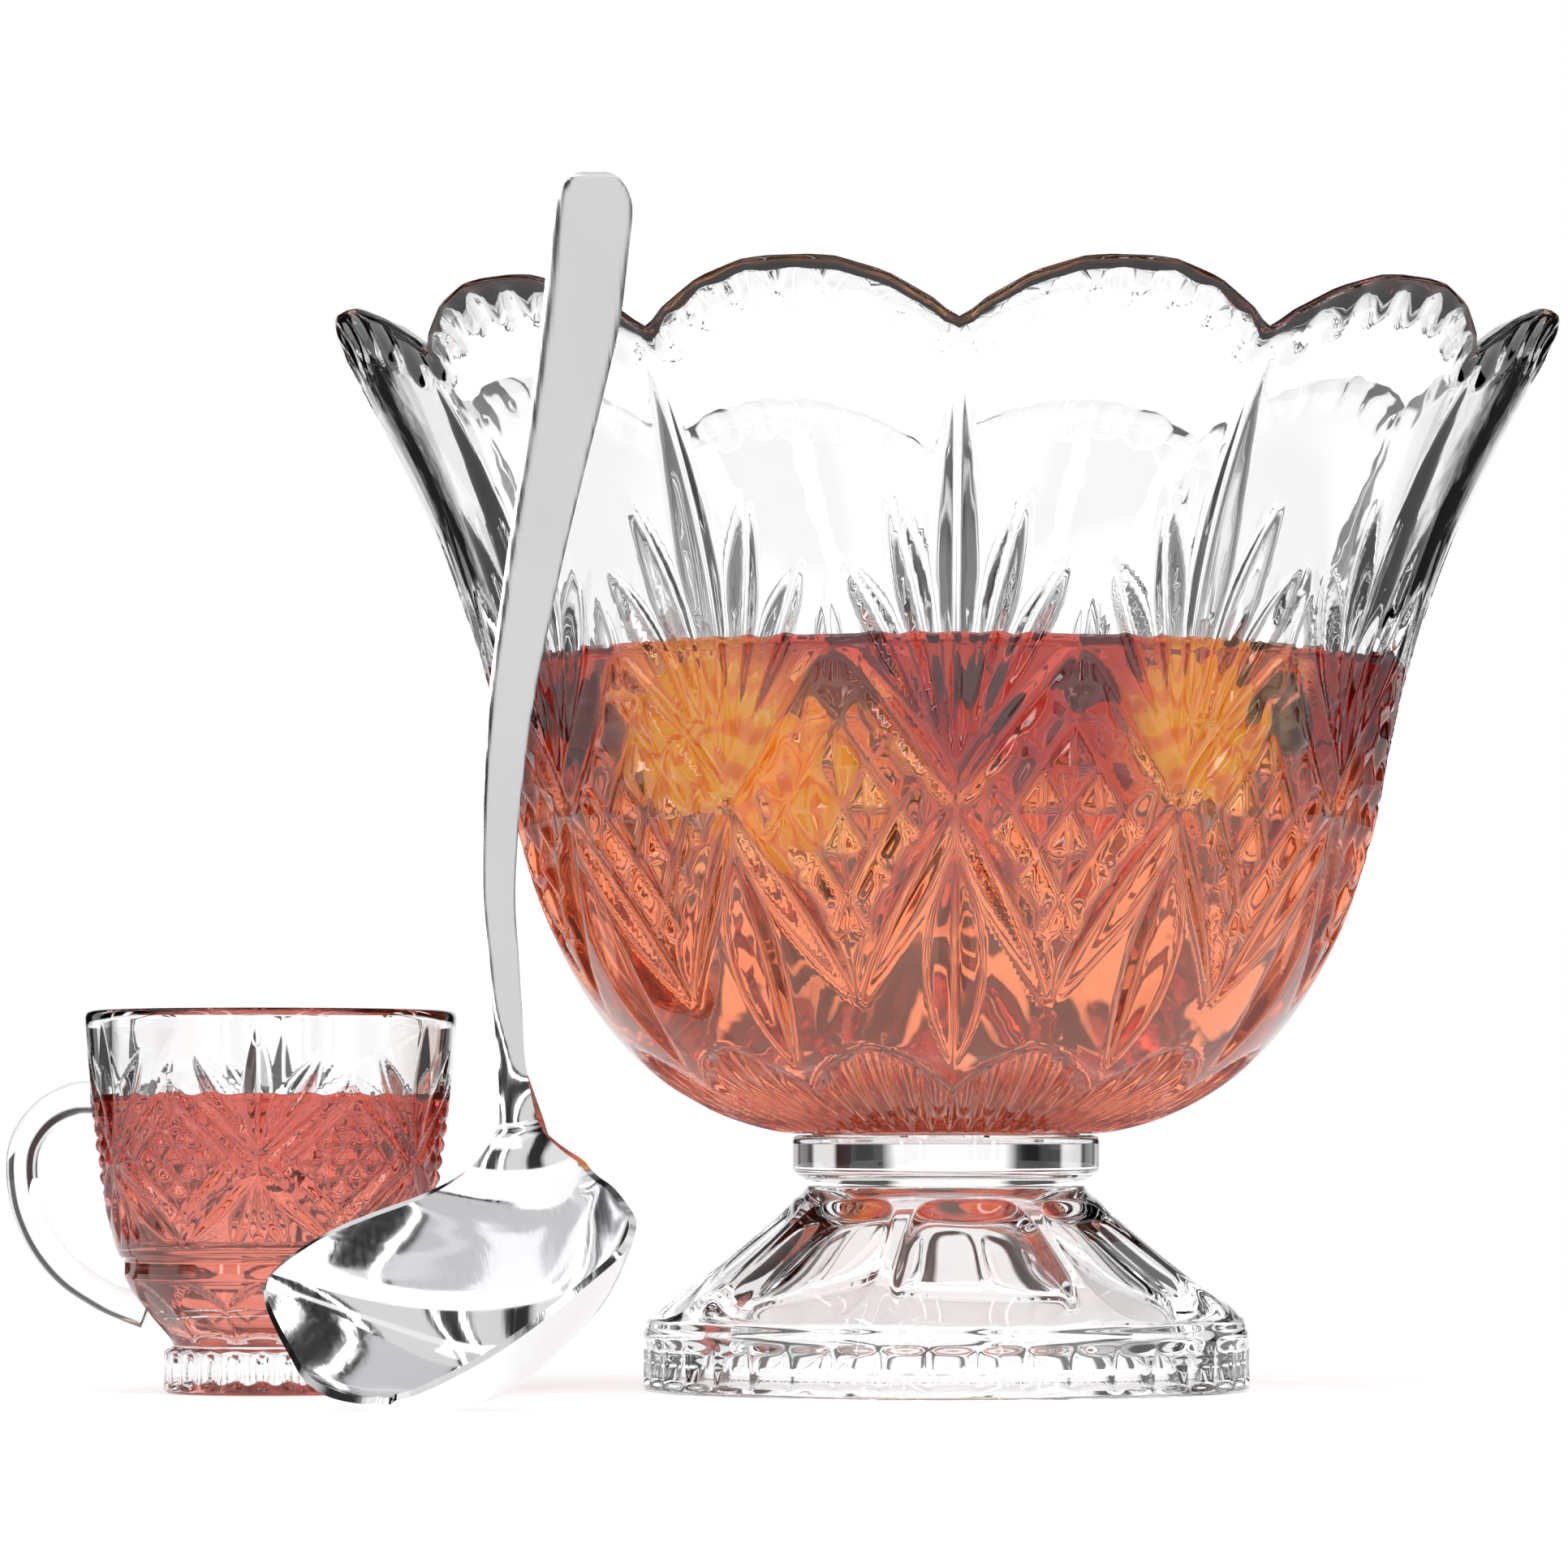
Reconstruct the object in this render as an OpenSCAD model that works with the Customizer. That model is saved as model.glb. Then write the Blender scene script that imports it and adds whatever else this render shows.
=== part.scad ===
// Footed crystal punch bowl: a scalloped glass bowl on a separate pedestal stand,
// with the punch cup and the two-lipped steel ladle that belong to it.
// Millimetres, +Z up. The origin is the centre of the stand's underside, on the bowl's axis.

/* [Bowl] */
// Radius of the bowl over the tips of the scallops
bowl_rim_r = 147; // [120:1:180]
// Height of the top of the scallops above the table
bowl_rim_z = 251.5; // [200:0.5:320]
// Wall thickness of the bowl
bowl_wall = 5.5; // [4:0.1:8]
// Glass thickness at the bottom of the bowl
bowl_floor = 8; // [6:0.5:12]
// Number of scallops round the rim, and of cut fans below them
scallops = 12; // [8:1:16]
// Radius of the arc that forms one scallop
scallop_r = 58; // [50:1:80]
// Depth of the V-shaped cuts in the wall
cut_depth = 2.2; // [0.5:0.1:3]

/* [Stand] */
// Radius of the stand's foot
stand_foot_r = 71.4; // [60:0.1:90]
// Height of the fluted edge of the foot
stand_edge_h = 13.5; // [8:0.5:20]
// Radius of the collar that carries the bowl
collar_r = 36.3; // [30:0.1:45]
// Height of the seat on top of the collar
seat_z = 60; // [50:0.5:75]
// Number of arched panels round the flare
panels = 8; // [6:1:12]
// Number of flutes round the edge of the foot
flutes = 40; // [24:2:60]

/* [Ladle] */
// Length of the ladle bowl from lip to lip
ladle_l = 92; // [70:1:100]
// Largest radius of the ladle bowl
ladle_r = 34; // [28:0.5:42]
// Thickness of the ladle's sheet steel
ladle_t = 1.6; // [1.2:0.1:2.5]
// Height of the top of the ladle's handle above the table
ladle_top_z = 270; // [240:1:300]
// Half width of the handle near its upper end
ladle_grip = 8.6; // [6:0.2:12]

/* [Cup] */
// Radius of the cup at its rim
cup_rim_r = 43.4; // [38:0.1:50]
// Height of the cup
cup_h = 88.8; // [75:0.1:100]
// Wall thickness of the cup
cup_wall = 3.4; // [2.5:0.1:5]
// Radius of the cup's ribbed foot
cup_foot_r = 24.7; // [20:0.1:30]
// Radius of the round rod that forms the cup's handle
cup_rod_r = 3.8; // [3:0.1:5]

/* [Hidden] */
step = 360 / scallops;
gap = 0.3;                 // air between two pieces that only rest on each other
lap = 0.5;                 // how far a cutter overshoots the face it cuts
curve_parts = 10;          // straight parts in one half of the bowl's outline

// The bowl's outer outline is two smooth curves that meet at its waist.
waist_r = 103.8;
waist_z = 144;
bowl_seat_z = seat_z + gap;
lower_curve = [[collar_r, bowl_seat_z], [76.5, 66], [96, 102], [waist_r, waist_z]];
upper_curve = [[waist_r, waist_z], [111.7, 187.5], [124.5, 213], [bowl_rim_r, bowl_rim_z]];

// The bowl's foot ring drops into a shallow recess in the collar.
ring_r = 31.4;
ring_h = 2.2;
recess_r = ring_r + gap;
recess_h = ring_h + 0.1;

// The tall blade cut runs up the upper curve; the flute below it crosses the lower curve.
blade_low = [104.2, 146];
blade_high = [132.4, 226];
blade_hollow = 3.1;        // how far the wall between the blade's two ends curves inwards
blade_w = 8;
blade_flare = 1.1;         // half width of the blade's V edge, as a share of its width
flute_t = 0.66;            // where on the lower curve the flute's middle lies
flute_l = 46;
flute_w = 10;

// The ladle bowl is half a lemon-shaped shell; the two ends of the lemon are its lips.
ladle_centre = [-110.4, -150, 34.4];
lip_r = 7;
ladle_tilt = 58;           // the opening leans towards the front
ladle_yaw = -28;           // the right lip comes forward
ladle_roll = 8;            // the right lip stands higher
lemon_r = (pow(ladle_l / 2, 2) + pow(ladle_r - lip_r, 2)) / (2 * (ladle_r - lip_r));
lemon_half = asin(ladle_l / 2 / lemon_r);

// Handle seen from the front: height, middle, half width.
grip_x = -79.8;
grip_front = [
    [60, -93.8, 9.5], [63.6, -94.9, 6.2], [68, -95.8, 4], [74, -97, 3], [86, -98, 3],
    [98, -99.1, 3.3], [116, -100.2, 3.6], [148, -98.2, 4.6], [182, -92.9, 5.9], [206, -88.3, 6.9],
    [237, -82.6, 8.4], [ladle_top_z - ladle_grip, grip_x, ladle_grip]
];
// Handle seen from the side: height, middle, half thickness.
grip_side = [
    [60, -134.6, 2], [63.6, -137.6, 1.8], [70, -136.9, 1.9], [82, -135.6, 2.1], [96, -134.8, 2.1],
    [130, -136.2, 1.9], [170, -135.2, 1.5], [206, -133, 1.2], [ladle_top_z, -131.6, 1.0]
];

// The cup stands to the left of the bowl, its handle pointing away from it.
cup_at = [-158, -20, 0];
cup_foot_h = 11;
cup_ledge_z = 32;
cup_ledge_r = 35.3;
rod_top_z = 68.6;

$fn = 96;

// A point on a smooth curve with four control points, t running from 0 to 1.
function bezier(c, t) = pow(1 - t, 3) * c[0] + 3 * pow(1 - t, 2) * t * c[1]
    + 3 * (1 - t) * t * t * c[2] + t * t * t * c[3];

// The direction of travel along the same curve.
function bezier_way(c, t) = pow(1 - t, 2) * (c[1] - c[0]) + 2 * (1 - t) * t * (c[2] - c[1])
    + t * t * (c[3] - c[2]);

// The point of the curve moved inwards, square to it, by the thickness of the wall.
function inside(c, t, wall) = let (way = bezier_way(c, t))
    bezier(c, t) + wall / norm(way) * [-way[1], way[0]];

// The slope of the curve from the horizontal, in degrees.
function slope(c, t) = let (way = bezier_way(c, t)) atan2(way[1], way[0]);

function first_column(rows, side) = [for (row = rows) [row[1] + side * row[2], row[0]]];
function reversed(list) = [for (i = [len(list) - 1 : -1 : 0]) list[i]];

// A closed outline from rows of height, middle and half width.
function band(rows) = concat(first_column(rows, 1), reversed(first_column(rows, -1)));

module bowl_wall_outline() {
    outer_low = [for (i = [0 : curve_parts]) bezier(lower_curve, i / curve_parts)];
    outer_high = [for (i = [1 : curve_parts]) bezier(upper_curve, i / curve_parts)];
    inner_high = concat([[bowl_rim_r - 6, bowl_rim_z]],
        [for (i = [curve_parts - 1 : -1 : 1]) inside(upper_curve, i / curve_parts, bowl_wall)]);
    inner_low = [for (i = [curve_parts : -1 : 3]) inside(lower_curve, i / curve_parts, bowl_wall)];
    floor_points = [[40, bowl_seat_z + bowl_floor + 1], [0, bowl_seat_z + bowl_floor]];
    foot_points = [[0, bowl_seat_z - ring_h + 0.6], [ring_r - 4, bowl_seat_z - ring_h + 0.6],
        [ring_r - 3, bowl_seat_z - ring_h], [ring_r, bowl_seat_z - ring_h], [ring_r, bowl_seat_z]];
    polygon(concat(outer_low, outer_high, inner_high, inner_low, floor_points, foot_points));
}

// The glass taken away round one valley of the rim: the two scallops beside it fall
// towards the valley in straight facets, as the rim's cut edge does.
module valley_cutter() {
    half = bowl_rim_r * sin(step / 2);
    tops = [for (share = [0.16, 0.45, 0.74, 1]) share * half];
    drop = [for (x = tops) scallop_r - sqrt(scallop_r * scallop_r - x * x)];
    side = [for (i = [3 : -1 : 0]) [half - tops[i], bowl_rim_z - (i == 0 ? 0 : drop[i])]];
    above = bowl_rim_z + 12;
    right = concat(side, [[half - tops[0], above]]);
    left = [for (i = [len(right) - 1 : -1 : 1]) [-right[i][0], right[i][1]]];
    translate([bowl_rim_r - 40, 0, 0]) rotate([90, 0, 90]) linear_extrude(60)
        polygon(concat(left, right));
}

// A leaf-shaped cut in the bowl's hollow upper curve, made by the V-shaped edge of a large ring.
module blade_cutter() {
    climb = blade_high - blade_low;
    chord = norm(climb);
    sag = blade_hollow * pow(chord / 90, 2) + cut_depth;
    ring = (pow(chord / 2, 2) + sag * sag) / (2 * sag);
    lean = atan2(climb[0], climb[1]);
    sweep = 2 * asin(chord / 2 / ring);
    middle = (blade_low + blade_high) / 2;
    root = ring - cut_depth - 3;
    side = blade_flare * blade_w;
    translate([middle[0], 0, middle[1]]) rotate([0, lean, 0])
        translate([ring - sag, 0, 0]) rotate([90, 0, 0]) rotate([0, 0, 180 - sweep / 2])
        rotate_extrude(angle = sweep) polygon([[ring, 0], [root, side], [root, -side]]);
}

// A leaf-shaped flute in the bowl's round lower curve, made by the edge of a straight V bar.
module flute_cutter() {
    at = bezier(lower_curve, flute_t);
    over = 2;
    side = flute_w / 2 * (1 + over / cut_depth);
    translate([at[0], 0, at[1]]) rotate([0, 90 - slope(lower_curve, flute_t), 0])
        linear_extrude(flute_l, center = true)
        polygon([[-cut_depth, 0], [over, side], [over, -side]]);
}

module punch_bowl() {
    color([0.95, 0.97, 0.98, 0.4])
    difference() {
        rotate([0, 0, step / 2]) rotate_extrude() bowl_wall_outline();
        for (i = [0 : scallops - 1]) rotate([0, 0, i * step]) {
            valley_cutter();
            blade_cutter();
            flute_cutter();
        }
    }
}

// The foot's flare, neck and collar, with the hollow underneath and the recess on top.
module stand_outline() {
    polygon([
        [62, 0], [stand_foot_r - 0.8, 0], [stand_foot_r, 0.8], [stand_foot_r, stand_edge_h],
        [stand_foot_r - 1.2, 17.4], [66.4, 21.2], [60.2, 25.1], [50.4, 32.8], [40.9, 40.5],
        [36.4, 44.4], [33, 47.4], [33.1, 48.4], [33.6, 49.6], [collar_r - 1.3, 50.6],
        [collar_r, 52.6], [collar_r, seat_z - 1], [collar_r - 1, seat_z],
        [recess_r, seat_z], [recess_r, seat_z - recess_h], [0, seat_z - recess_h],
        [0, 47.8], [10, 47.6], [22, 45], [32, 39], [43, 30], [53.5, 21], [58.5, 13], [61, 6]
    ]);
}

// One panel of the flare: a shallow trough with a round end at the top and at the bottom.
module panel_cutter() {
    drum_r = 120;
    panel_r = 18.5;
    panel_depth = 3.4;
    flare_slope = 37.7;
    translate([52.5, 0, 31.9]) rotate([0, flare_slope - 90, 0]) intersection() {
        translate([drum_r - panel_depth, 0, 0]) cylinder(h = 3 * panel_r, r = drum_r, center = true);
        rotate([0, 90, 0]) cylinder(h = 6 * panel_depth, r = panel_r, center = true);
    }
}

module pedestal_stand() {
    flute_r = 3.2;
    panel_turn = 7.5;
    color([0.93, 0.95, 0.96, 0.4])
    difference() {
        rotate_extrude() stand_outline();
        for (i = [0 : flutes - 1]) rotate([0, 0, i * 360 / flutes])
            translate([stand_foot_r + flute_r - 0.7, 0, 1.8]) cylinder(h = 10.2, r = flute_r);
        for (i = [0 : panels - 1]) rotate([0, 0, -90 + panel_turn + i * 360 / panels]) panel_cutter();
    }
}

// Half of the lemon's outline: an arc from lip to lip with the thickness of the sheet.
module lemon_outline() {
    arc = [for (a = [-lemon_half : lemon_half / 12 : lemon_half + 0.01])
        [ladle_r - lemon_r + lemon_r * cos(a), lemon_r * sin(a)]];
    thinner = (lemon_r - ladle_t) / lemon_r;
    inner = [for (p = arc)
        [(p[0] - ladle_r + lemon_r) * thinner + ladle_r - lemon_r, p[1] * thinner]];
    polygon(concat(arc, reversed(inner)));
}

module ladle_bowl() {
    color([0.76, 0.77, 0.78])
    translate(ladle_centre)
        rotate([0, 0, ladle_yaw]) rotate([0, -ladle_roll, 0]) rotate([ladle_tilt, 0, 0])
        rotate([0, 90, 0]) rotate([0, 0, -88]) rotate_extrude(angle = 176) lemon_outline();
}

module ladle_handle() {
    depth = 20;
    color([0.76, 0.77, 0.78])
    intersection() {
        translate([0, -125, 0]) rotate([90, 0, 0]) linear_extrude(depth) {
            polygon(band(grip_front));
            translate([grip_x, ladle_top_z - ladle_grip]) circle(ladle_grip);
        }
        translate([-140, 0, 0]) rotate([90, 0, 90]) linear_extrude(90) polygon(band(grip_side));
    }
}

module cup_outline() {
    polygon([
        [0, 2.4], [cup_foot_r - 7, 2.4], [cup_foot_r - 5, 0], [cup_foot_r - 1, 0], [cup_foot_r, 1],
        [cup_foot_r, cup_foot_h - 2], [cup_foot_r - 3.2, cup_foot_h], [23.6, 13], [27.6, 17.6],
        [31.2, 22.4], [33.4, 26.4], [33.8, 27], [33.8, cup_ledge_z - 0.8], [cup_ledge_r, cup_ledge_z],
        [37.6, 40], [39.6, 50], [41.2, 62], [42.4, 76], [cup_rim_r, cup_h - 1.5],
        [cup_rim_r - 0.5, cup_h - 0.3], [cup_rim_r - 1.5, cup_h], [cup_rim_r - 2.5, cup_h - 0.6],
        [42.4 - cup_wall, 76], [41.2 - cup_wall, 62], [39.6 - cup_wall, 50], [37.6 - cup_wall, 40],
        [cup_ledge_r - cup_wall, cup_ledge_z], [29, 25.6], [24, 19.6], [16, 16.4], [0, 15.6]
    ]);
}

module cup_body() {
    ribs = 24;
    rib_r = 2.4;
    color([0.93, 0.95, 0.96, 0.4])
    translate(cup_at) difference() {
        rotate_extrude() cup_outline();
        for (i = [0 : ribs - 1]) rotate([0, 0, i * 360 / ribs])
            translate([cup_foot_r + rib_r - 0.9, 0, -lap]) cylinder(h = cup_foot_h, r = rib_r);
    }
}

// The handle is a round rod: straight into the wall, a tight bend, then a long sweep back.
module cup_handle() {
    tight_r = 13;
    sweep_r = 38;
    bend_z = rod_top_z - tight_r;
    bend_x = 45;
    sweep_end = 70;
    color([0.93, 0.95, 0.96, 0.4])
    translate(cup_at) {
        translate([-bend_x, 0, rod_top_z]) rotate([0, 90, 0]) cylinder(h = 6, r = cup_rod_r);
        translate([-bend_x, 0, bend_z]) rotate([90, 0, 0]) rotate([0, 0, 90])
            rotate_extrude(angle = 90) translate([tight_r, 0]) circle(cup_rod_r);
        translate([sweep_r - bend_x - tight_r, 0, bend_z]) rotate([90, 0, 0]) rotate([0, 0, 180])
            rotate_extrude(angle = sweep_end) translate([sweep_r, 0]) circle(cup_rod_r);
    }
}

pedestal_stand();
punch_bowl();
ladle_bowl();
ladle_handle();
cup_body();
cup_handle();
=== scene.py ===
"""Looks of a cut-crystal punch bowl on its stand, with a cup, a ladle, punch and fruit.

The pieces are built in millimetres and scaled to metres when a mesh is made; the stage is in
metres. The glass is turned on a lathe (a profile swept round an axis) with the wheel-cut pattern
pressed into its outer face. Heights are above the table, and angles start at the front.
"""

import math

import bmesh
import bpy
import numpy as np
from mathutils import Matrix, Vector


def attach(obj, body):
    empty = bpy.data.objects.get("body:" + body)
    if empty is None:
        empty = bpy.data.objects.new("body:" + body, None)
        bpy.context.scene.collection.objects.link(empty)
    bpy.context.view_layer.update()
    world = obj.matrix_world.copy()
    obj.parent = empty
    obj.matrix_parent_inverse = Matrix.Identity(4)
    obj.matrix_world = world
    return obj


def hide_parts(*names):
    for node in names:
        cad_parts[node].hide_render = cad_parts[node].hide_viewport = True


MM = 0.001
SEED = 7

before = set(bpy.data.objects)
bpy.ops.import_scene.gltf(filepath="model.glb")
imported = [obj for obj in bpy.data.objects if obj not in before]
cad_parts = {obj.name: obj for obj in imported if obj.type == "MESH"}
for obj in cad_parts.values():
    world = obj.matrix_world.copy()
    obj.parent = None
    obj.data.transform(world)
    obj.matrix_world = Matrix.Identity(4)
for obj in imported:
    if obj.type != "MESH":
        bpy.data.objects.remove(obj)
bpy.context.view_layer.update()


# ---------------------------------------------------------------- small helpers


def curve(control, t):
    """Points of a cubic Bezier curve for an array t of values from 0 to 1."""
    c = np.array(control, float)
    t = np.asarray(t, float)[:, None]
    return (1 - t) ** 3 * c[0] + 3 * (1 - t) ** 2 * t * c[1] + 3 * (1 - t) * t * t * c[2] + t**3 * c[3]


def joined(*parts):
    """Polylines laid end to end, without the doubled point where two meet."""
    out = [np.asarray(parts[0], float)]
    for part in parts[1:]:
        part = np.asarray(part, float)
        out.append(part[1:] if np.allclose(out[-1][-1], part[0]) else part)
    return np.vstack(out)


def resampled(line, count):
    """The same line with count evenly spaced points."""
    run = np.r_[0, np.cumsum(np.linalg.norm(np.diff(line, axis=0), axis=1))]
    at = np.linspace(0, run[-1], count)
    return np.stack([np.interp(at, run, line[:, k]) for k in range(line.shape[1])], 1)


def smooth_line(points, count):
    """A Catmull-Rom curve through the points, with count points along it."""
    p = np.array(points, float)
    p = np.vstack([2 * p[0] - p[1], p, 2 * p[-1] - p[-2]])
    out = []
    for s in np.linspace(0, len(p) - 3 - 1e-9, count):
        i = int(s)
        t = s - i
        a, b, c, d = p[i : i + 4]
        slope = c - a
        bend = 2 * a - 5 * b + 4 * c - d
        twist = 3 * b - a - 3 * c + d
        out.append(0.5 * (2 * b + slope * t + bend * t * t + twist * t**3))
    return np.array(out)


def new_object(name, verts, faces, body, material, smooth_angle=None):
    """A mesh object from points in millimetres, riding on a body."""
    mesh = bpy.data.meshes.new(name)
    mesh.from_pydata((np.asarray(verts) * MM).tolist(), [], faces)
    mesh.validate()
    mesh.update()
    mesh.shade_smooth()
    obj = bpy.data.objects.new(name, mesh)
    bpy.context.scene.collection.objects.link(obj)
    obj.data.materials.append(material)
    if smooth_angle is not None:
        mesh.set_sharp_from_angle(angle=math.radians(smooth_angle))
    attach(obj, body)
    return obj


def lathe(outer, inner, columns, ratio, place=(0, 0, 0)):
    """A closed solid of revolution from grids of points.

    outer is an array (rows, columns, 3) from the bottom to the rim; inner is an array
    (rows, columns / ratio, 3) from the rim to the bottom. Both end on the axis.
    """
    rows_out, rows_in = outer.shape[0], inner.shape[0]
    few = columns // ratio
    verts = [outer.reshape(-1, 3), inner.reshape(-1, 3)]
    base = rows_out * columns
    faces = []
    for r in range(rows_out - 1):
        a = r * columns
        for c in range(columns):
            d = (c + 1) % columns
            faces.append((a + c, a + d, a + columns + d, a + columns + c))
    top = (rows_out - 1) * columns
    for c in range(few):
        d = (c + 1) % few
        ring = [top + (c * ratio + k) % columns for k in range(ratio + 1)]
        faces.append(tuple(ring + [base + d, base + c]))
    for r in range(rows_in - 1):
        a = base + r * few
        for c in range(few):
            d = (c + 1) % few
            faces.append((a + c, a + d, a + few + d, a + few + c))
    bottom_out = outer[0].mean(0)
    bottom_in = inner[-1].mean(0)
    first = base + rows_in * few
    verts.append(np.array([bottom_out, bottom_in]))
    for c in range(columns):
        faces.append((first, (c + 1) % columns, c))
    last = base + (rows_in - 1) * few
    for c in range(few):
        faces.append((last + c, last + (c + 1) % few, first + 1))
    return np.vstack(verts) + np.array(place), faces


def column_angles(columns):
    """The angle (radians) of every column of a turned grid."""
    return np.arange(columns) * 2 * np.pi / columns


def turned(radius, z, angle):
    """Points at each radius and height, turned to each column's angle."""
    return np.stack(np.broadcast_arrays(radius * np.sin(angle), -radius * np.cos(angle), z), -1)


def spun(profile, columns):
    """Grid of points: the profile (radius, height) turned through every column's angle."""
    return turned(profile[:, :1], profile[:, 1:2], column_angles(columns))


def pressed(profile, depth, columns):
    """The same grid with every point pushed in by its own depth."""
    normal = outward(profile)
    radius = profile[:, :1] - depth * normal[:, :1]
    z = profile[:, 1:2] - depth * normal[:, 1:2]
    return turned(radius, z, column_angles(columns))


def repeat_angle(turn, step):
    """Each angle (degrees) measured from the middle of its own repeat."""
    return (turn + step / 2) % step - step / 2


def outward(profile):
    """Unit normals (radius, height) of a profile that runs upwards on the outside."""
    way = np.gradient(profile, axis=0)
    way /= np.linalg.norm(way, axis=1)[:, None] + 1e-12
    return np.stack([way[:, 1], -way[:, 0]], 1)


def smoothstep(x, low, high):
    """0 below low, 1 above high, easing in between."""
    t = np.clip((x - low) / (high - low), 0, 1)
    return t * t * (3 - 2 * t)


# ---------------------------------------------------------------- wheel cuts


class Cutter:
    """Collects V-shaped cuts on a turned surface; angles in degrees, heights in millimetres.

    phi is each point's angle from the middle of its repeat, radius its distance from the axis and
    z its height. depth holds the deepest cut found so far at every point. root is how far the
    bottom of a cut is rounded and lip the same for its edges, both in millimetres.
    """

    def __init__(self, angle, radius, z, repeats, root=0.55, lip=0.22):
        self.root = root
        self.lip = lip
        self.step = 360.0 / repeats
        self.phi = repeat_angle(np.degrees(angle), self.step)
        self.radius = radius
        self.z = z
        self.depth = np.zeros(z.shape)

    def leaf(self, start, end, width, depth, belly=0.4, tip=1.0, mirror=False, root=None):
        """A leaf-shaped V cut from start to end, both (degrees, height); belly is its widest place."""
        root = self.root if root is None else root
        (p0, z0), (p1, z1) = start, end
        t = (self.z - z0) / (z1 - z0)
        inside = (t > 0) & (t < 1)
        u = np.clip(t, 1e-6, 1 - 1e-6)
        bend = math.log(0.5) / math.log(belly)
        half = width / 2 * np.sin(np.pi * u**bend) ** tip
        slant = self.radius * math.radians(p1 - p0) / (z1 - z0)
        square = 1 / np.sqrt(1 + slant**2)
        sides = (1, -1) if mirror else (1,)
        for side in sides:
            for turn in (-self.step, 0, self.step):
                line = side * (p0 + (p1 - p0) * t) + turn
                away = np.abs(self.radius * np.radians(self.phi - line)) * square
                rise = half - np.sqrt(away**2 + root**2) + 0.6 * root
                rise = (rise + np.sqrt(rise**2 + self.lip**2)) / 2
                cut = depth * rise / (width / 2)
                self.depth = np.maximum(self.depth, np.where(inside, cut, 0))

    def lattice(self, middle, low, high, shares, width, depth, tip):
        """Crossed cuts over a diamond panel whose middle lies middle degrees off the repeat's."""
        ends = (0.1, 0.92)
        for share in shares:
            z0, z1 = (low + (share + end) / 2 * (high - low) for end in ends)
            p0, p1 = (middle + (share - end) * middle for end in ends)
            for start, stop in ((p0, p1), (2 * middle - p0, 2 * middle - p1)):
                self.leaf((start, z0), (stop, z1), width, depth, belly=0.5, tip=tip, mirror=True)

    def dimple(self, at, size, depth):
        """A round thumbprint at (degrees, height)."""
        for turn in (-self.step, 0, self.step):
            across = self.radius * np.radians(self.phi - at[0] - turn)
            away = np.sqrt(across**2 + (self.z - at[1]) ** 2) / size
            self.depth = np.maximum(self.depth, depth * np.clip(1 - away**2, 0, None))


# ---------------------------------------------------------------- materials


def node_material(name):
    """A new material, its node tree and its main shader."""
    material = bpy.data.materials.new(name)
    material.use_nodes = True
    tree = material.node_tree
    return material, tree, tree.nodes["Principled BSDF"]


def noise(tree, scale, detail=2.0, stretch=(1, 1, 1)):
    """A noise texture in object coordinates, in metres times scale."""
    place = tree.nodes.new("ShaderNodeTexCoord")
    mapping = tree.nodes.new("ShaderNodeMapping")
    mapping.inputs["Scale"].default_value = stretch
    texture = tree.nodes.new("ShaderNodeTexNoise")
    texture.inputs["Scale"].default_value = scale
    texture.inputs["Detail"].default_value = detail
    tree.links.new(place.outputs["Object"], mapping.inputs["Vector"])
    tree.links.new(mapping.outputs["Vector"], texture.inputs["Vector"])
    return texture


def ramp(tree, source, stops):
    """A colour ramp through (place, colour) stops."""
    node = tree.nodes.new("ShaderNodeValToRGB")
    bar = node.color_ramp
    while len(bar.elements) < len(stops):
        bar.elements.new(0.5)
    for element, (at, colour) in zip(bar.elements, stops):
        element.position = at
        element.color = (*colour, 1)
    tree.links.new(source, node.inputs["Fac"])
    return node


def bump(tree, shader, source, strength, distance):
    """Fine relief of the surface; distance is in metres."""
    node = tree.nodes.new("ShaderNodeBump")
    node.inputs["Strength"].default_value = strength
    node.inputs["Distance"].default_value = distance
    tree.links.new(source, node.inputs["Height"])
    tree.links.new(node.outputs["Normal"], shader.inputs["Normal"])


def math_node(tree, operation, *terms):
    """The output of a Math node; every term is a number or another node's output."""
    node = tree.nodes.new("ShaderNodeMath")
    node.operation = operation
    for socket, term in zip(node.inputs, terms):
        if isinstance(term, float):
            socket.default_value = term
        else:
            tree.links.new(term, socket)
    return node.outputs["Value"]


def vector_measure(tree, operation, source, point=(0, 0, 0)):
    """The length of a vector, or its distance from a point."""
    node = tree.nodes.new("ShaderNodeVectorMath")
    node.operation = operation
    node.inputs[1].default_value = point
    tree.links.new(source, node.inputs[0])
    return node.outputs["Value"]


def map_range(tree, source, low, high, ease="LINEAR"):
    """0 at low and 1 at high."""
    node = tree.nodes.new("ShaderNodeMapRange")
    node.interpolation_type = ease
    node.inputs["From Min"].default_value = low
    node.inputs["From Max"].default_value = high
    tree.links.new(source, node.inputs["Value"])
    return node.outputs["Result"]


def colour_mix(tree, first, second, blend="MIX", share=1.0):
    """Two colours mixed; share and second are fixed values or outputs of other nodes."""
    node = tree.nodes.new("ShaderNodeMix")
    node.data_type = "RGBA"
    node.blend_type = blend
    tree.links.new(first, node.inputs["A"])
    for socket, value in ((node.inputs["Factor"], share), (node.inputs["B"], second)):
        if isinstance(value, (float, tuple)):
            socket.default_value = value
        else:
            tree.links.new(value, socket)
    return node.outputs["Result"]


def place_and_parts(tree, kind):
    """A texture coordinate and its x, y and z."""
    place = tree.nodes.new("ShaderNodeTexCoord").outputs[kind]
    split = tree.nodes.new("ShaderNodeSeparateXYZ")
    tree.links.new(place, split.inputs["Vector"])
    return place, split.outputs["X"], split.outputs["Y"], split.outputs["Z"]


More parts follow.
